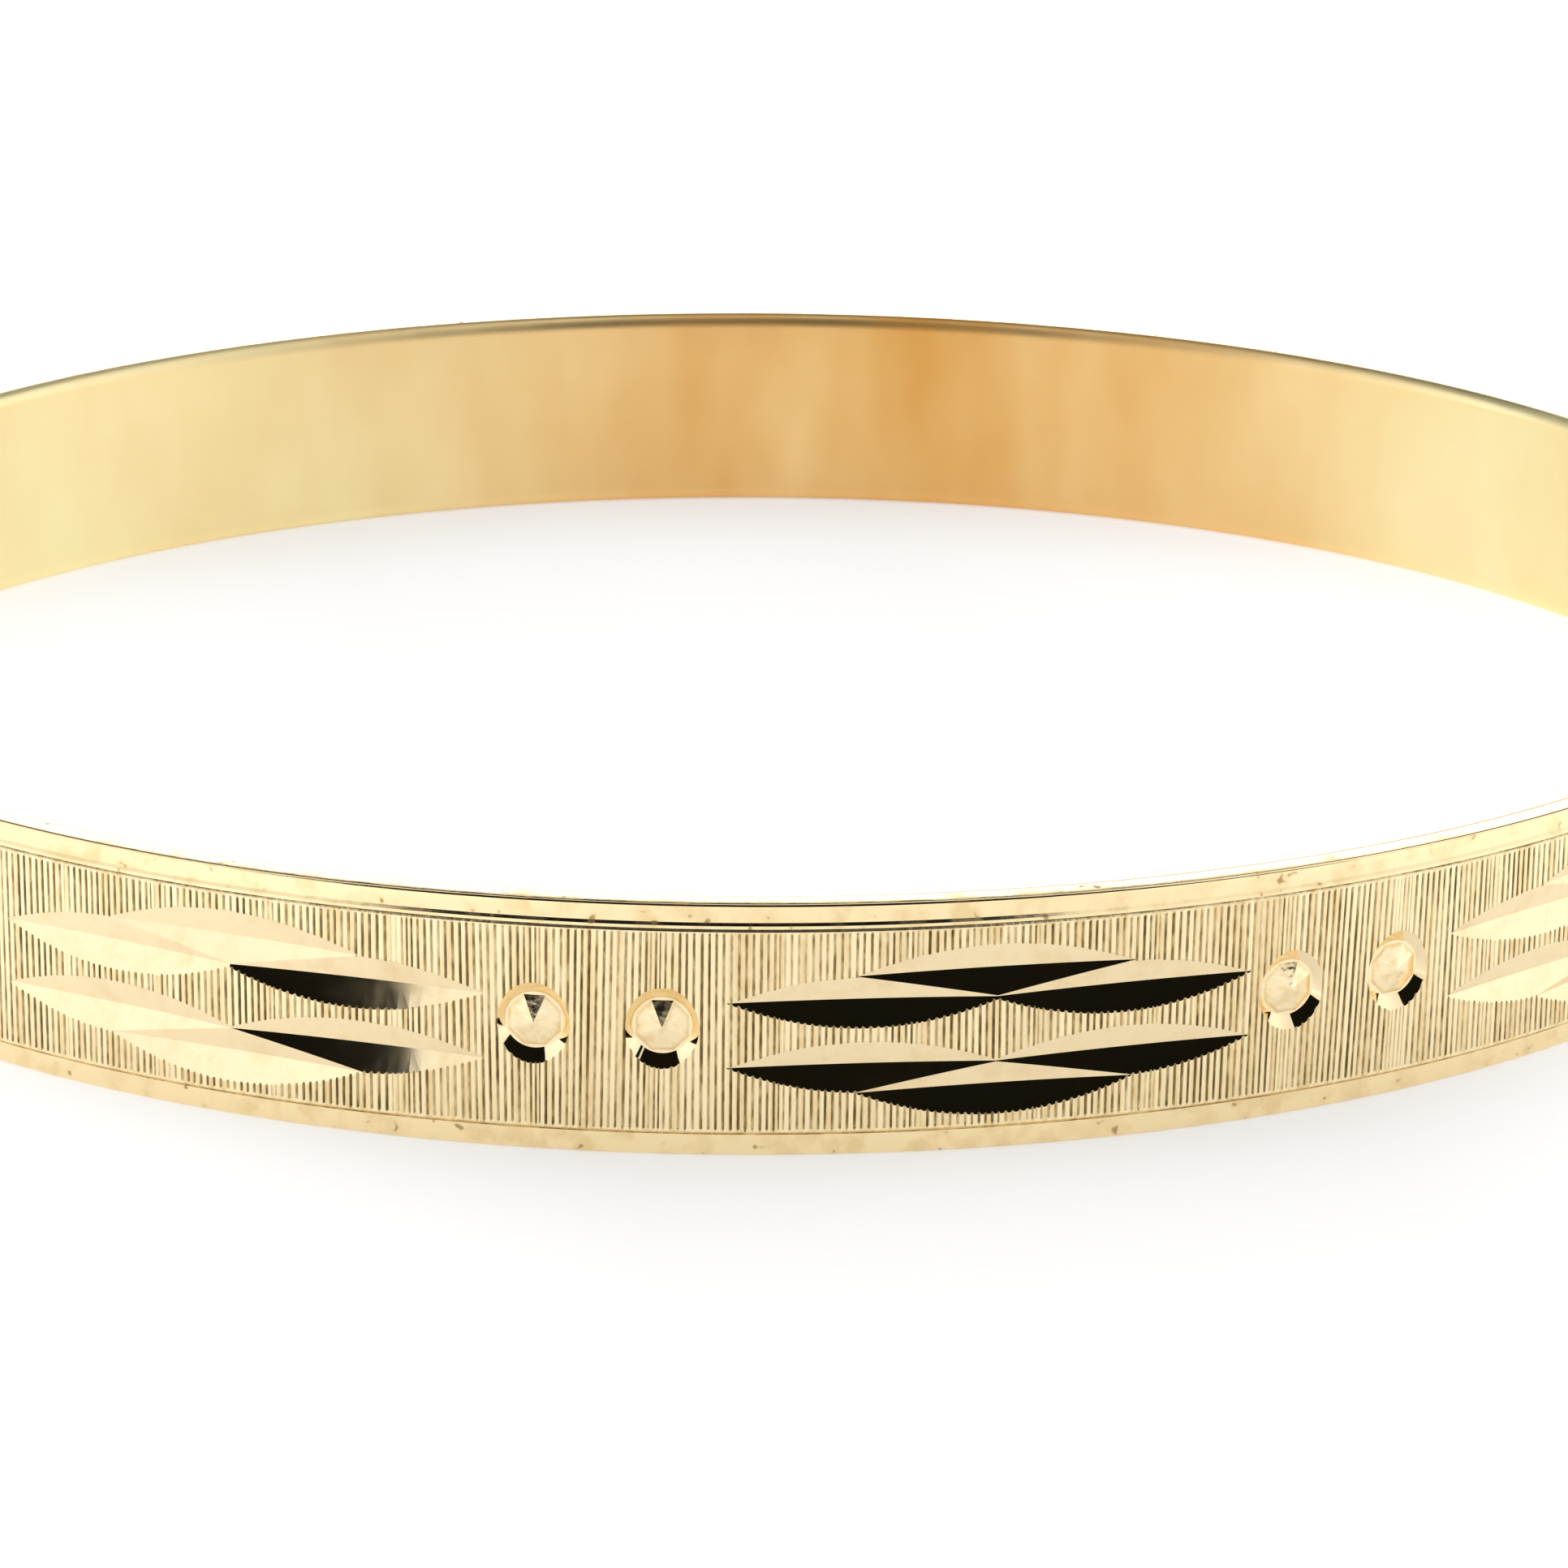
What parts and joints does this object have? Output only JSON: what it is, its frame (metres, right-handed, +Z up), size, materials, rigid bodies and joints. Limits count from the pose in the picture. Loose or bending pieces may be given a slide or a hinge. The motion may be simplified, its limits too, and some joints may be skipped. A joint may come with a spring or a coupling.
{
  "type": "bangle bracelet",
  "caption": "Slim oval hinged bangle with bright-cut marquise motifs and dot pairs on a fluted field between plain borders; opens on a side hinge, closes with a sprung tongue in a box clasp.",
  "frame": {"origin": "Centre of the oval, on the plane of the lower edge, where the bangle stands when it is laid down.", "axes": "+Z up through the opening, +X from the clasp to the hinge, -Y to the front half."},
  "size_m": [0.062, 0.0568, 0.0063],
  "materials": {
    "cut_gold": "polished yellow gold, fluted and bright-cut",
    "plain_gold": "polished yellow gold",
    "spring_gold": "hard-rolled yellow gold spring strip"
  },
  "bodies": {
    "front_half": {"front_band": "cut_gold", "front_hinge_block": "plain_gold", "middle_knuckle": "plain_gold", "clasp_box": "plain_gold"},
    "rear_half": {"rear_band": "cut_gold", "rear_hinge_block": "plain_gold", "lower_knuckle": "plain_gold", "upper_knuckle": "plain_gold", "hinge_pin": "plain_gold", "tongue_block": "plain_gold", "tongue_leaf": "spring_gold"},
    "thumb_spring": {"spring_leaf": "spring_gold", "thumb_piece": "plain_gold"}
  },
  "joints": [
    {"name": "side_hinge", "type": "hinge", "parent": "front_half", "child": "rear_half", "pos_m": [0.0297, 0, 0.00317], "axis": [0, 0, -1], "range_deg": [0, 58]},
    {"name": "thumb_press", "type": "hinge", "parent": "rear_half", "child": "thumb_spring", "pos_m": [-0.02879, -0.00345, 0.00317], "axis": [0, 0, -1], "range_deg": [0, 5], "stiffness_Nm_per_rad": 0.1, "springref_deg": -1.72}
  ]
}
